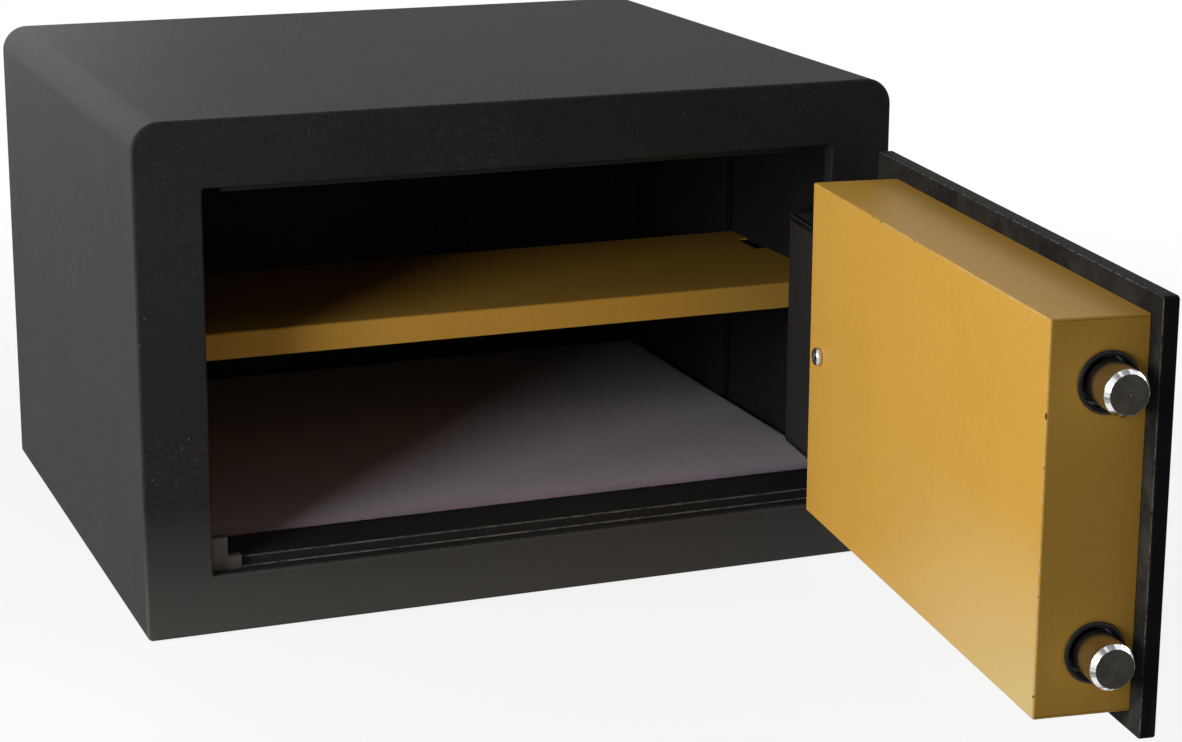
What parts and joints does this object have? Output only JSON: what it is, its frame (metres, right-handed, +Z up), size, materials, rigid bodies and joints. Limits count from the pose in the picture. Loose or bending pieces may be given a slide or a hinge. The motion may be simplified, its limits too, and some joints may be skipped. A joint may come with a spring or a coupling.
{
  "type": "furniture safe",
  "caption": "Small black steel furniture safe with a thick hinged door, round bolts, a gold-painted inner cover and shelf, and a keypad, knob and key lock on its face.",
  "frame": {"origin": "centre of the body's underside, which rests on the shelf or floor", "axes": "+Z up, +X to the hinge side as seen from the front, +Y into the safe, so the door opens towards -Y"},
  "size_m": [0.4323, 0.7475, 0.277],
  "materials": {
    "black_coat": "black fine-texture powder coat",
    "gold_paint": "ochre gold paint with a light orange peel",
    "steel": "turned bright steel",
    "zinc": "zinc-plated sheet steel",
    "felt": "grey needle felt",
    "black_plastic": "black moulded plastic, lightly textured",
    "grey_plastic": "dark grey moulded plastic",
    "board": "green circuit board",
    "battery": "dark printed battery sleeve, bare"
  },
  "bodies": {
    "body": {"front_frame": "black_coat", "body_wrap": "black_coat", "back_panel": "black_coat", "floor_panel": "black_coat", "floor_mat": "felt", "corner_buffer": "grey_plastic", "shelf": "gold_paint", "top_stop": "black_coat", "bolt_keeper": "black_coat", "shelf_bracket_left": "black_coat", "shelf_bracket_right": "black_coat", "shelf_rail_left": "black_coat", "shelf_rail_right": "black_coat", "hinge_lug_upper": "black_coat", "hinge_lug_lower": "black_coat", "hinge_pin_upper": "steel", "hinge_pin_lower": "steel", "anchor_plug_left": "black_plastic", "anchor_plug_right": "black_plastic"},
    "door": {"door_plate": "black_coat", "door_cover": "gold_paint", "cover_post": "zinc", "cover_screw": "steel", "hinge_bracket": "black_coat", "bolt_guide": "zinc", "solenoid_body": "zinc", "keypad_housing": "black_plastic", "keypad_board": "board", "lock_cylinder": "steel", "bolt_bush_upper": "black_plastic", "bolt_bush_lower": "black_plastic", "guide_post_upper": "zinc", "guide_post_lower": "zinc", "battery_1": "battery", "battery_2": "battery", "battery_3": "battery", "battery_4": "battery"},
    "knob": {"knob": "black_plastic", "knob_spindle": "steel", "knob_cam": "zinc"},
    "bolts": {"bolt_upper": "steel", "bolt_lower": "steel", "bolt_carriage": "zinc"},
    "plunger": {"solenoid_plunger": "steel"},
    "key_cover": {"key_cover": "black_plastic"},
    "key_rotor": {"lock_rotor": "steel", "lock_tongue": "zinc"},
    "battery_lid": {"battery_lid": "black_plastic"},
    "button_1": {"button_1": "grey_plastic"},
    "button_2": {"button_2": "grey_plastic"},
    "button_3": {"button_3": "grey_plastic"},
    "button_4": {"button_4": "grey_plastic"},
    "button_5": {"button_5": "grey_plastic"},
    "button_6": {"button_6": "grey_plastic"},
    "button_7": {"button_7": "grey_plastic"},
    "button_8": {"button_8": "grey_plastic"},
    "button_9": {"button_9": "grey_plastic"},
    "button_clear": {"button_clear": "grey_plastic"},
    "button_0": {"button_0": "grey_plastic"},
    "button_enter": {"button_enter": "grey_plastic"}
  },
  "joints": [
    {"name": "door_hinge", "type": "hinge", "parent": "body", "child": "door", "pos_m": [0.202, -0.1765, 0.1365], "axis": [0, 0, 1], "range_deg": [-83, 7]},
    {"name": "knob_turn", "type": "hinge", "parent": "door", "child": "knob", "pos_m": [0.16691, -0.46638, 0.1365], "axis": [-0.9925, 0.1219, 0], "range_deg": [0, 90]},
    {"name": "bolt_slide", "type": "slide", "parent": "door", "child": "bolts", "axis": [0.1219, 0.9925, 0], "range_m": [0, 0.02]},
    {"name": "plunger_slide", "type": "slide", "parent": "door", "child": "plunger", "axis": [0, 0, 1], "range_m": [0, 0.006]},
    {"name": "key_cover_swing", "type": "hinge", "parent": "door", "child": "key_cover", "pos_m": [0.19874, -0.27282, 0.1545], "axis": [-0.9925, 0.1219, 0], "range_deg": [-110, 110]},
    {"name": "key_turn", "type": "hinge", "parent": "door", "child": "key_rotor", "pos_m": [0.19874, -0.27282, 0.1365], "axis": [-0.9925, 0.1219, 0], "range_deg": [0, 90]},
    {"name": "battery_lid_slide", "type": "slide", "parent": "door", "child": "battery_lid", "axis": [0, 0, -1], "range_m": [0, 0.045]},
    {"name": "button_1_press", "type": "slide", "parent": "door", "child": "button_1", "axis": [-0.9925, 0.1219, 0], "range_m": [0, 0.0015], "stiffness_N_per_m": 300},
    {"name": "button_2_press", "type": "slide", "parent": "door", "child": "button_2", "axis": [-0.9925, 0.1219, 0], "range_m": [0, 0.0015], "stiffness_N_per_m": 300},
    {"name": "button_3_press", "type": "slide", "parent": "door", "child": "button_3", "axis": [-0.9925, 0.1219, 0], "range_m": [0, 0.0015], "stiffness_N_per_m": 300},
    {"name": "button_4_press", "type": "slide", "parent": "door", "child": "button_4", "axis": [-0.9925, 0.1219, 0], "range_m": [0, 0.0015], "stiffness_N_per_m": 300},
    {"name": "button_5_press", "type": "slide", "parent": "door", "child": "button_5", "axis": [-0.9925, 0.1219, 0], "range_m": [0, 0.0015], "stiffness_N_per_m": 300},
    {"name": "button_6_press", "type": "slide", "parent": "door", "child": "button_6", "axis": [-0.9925, 0.1219, 0], "range_m": [0, 0.0015], "stiffness_N_per_m": 300},
    {"name": "button_7_press", "type": "slide", "parent": "door", "child": "button_7", "axis": [-0.9925, 0.1219, 0], "range_m": [0, 0.0015], "stiffness_N_per_m": 300},
    {"name": "button_8_press", "type": "slide", "parent": "door", "child": "button_8", "axis": [-0.9925, 0.1219, 0], "range_m": [0, 0.0015], "stiffness_N_per_m": 300},
    {"name": "button_9_press", "type": "slide", "parent": "door", "child": "button_9", "axis": [-0.9925, 0.1219, 0], "range_m": [0, 0.0015], "stiffness_N_per_m": 300},
    {"name": "button_clear_press", "type": "slide", "parent": "door", "child": "button_clear", "axis": [-0.9925, 0.1219, 0], "range_m": [0, 0.0015], "stiffness_N_per_m": 300},
    {"name": "button_0_press", "type": "slide", "parent": "door", "child": "button_0", "axis": [-0.9925, 0.1219, 0], "range_m": [0, 0.0015], "stiffness_N_per_m": 300},
    {"name": "button_enter_press", "type": "slide", "parent": "door", "child": "button_enter", "axis": [-0.9925, 0.1219, 0], "range_m": [0, 0.0015], "stiffness_N_per_m": 300}
  ],
  "couplings": [
    {"joint": "knob_turn", "follows": "bolt_slide", "rad_per_m": 78.539}
  ]
}
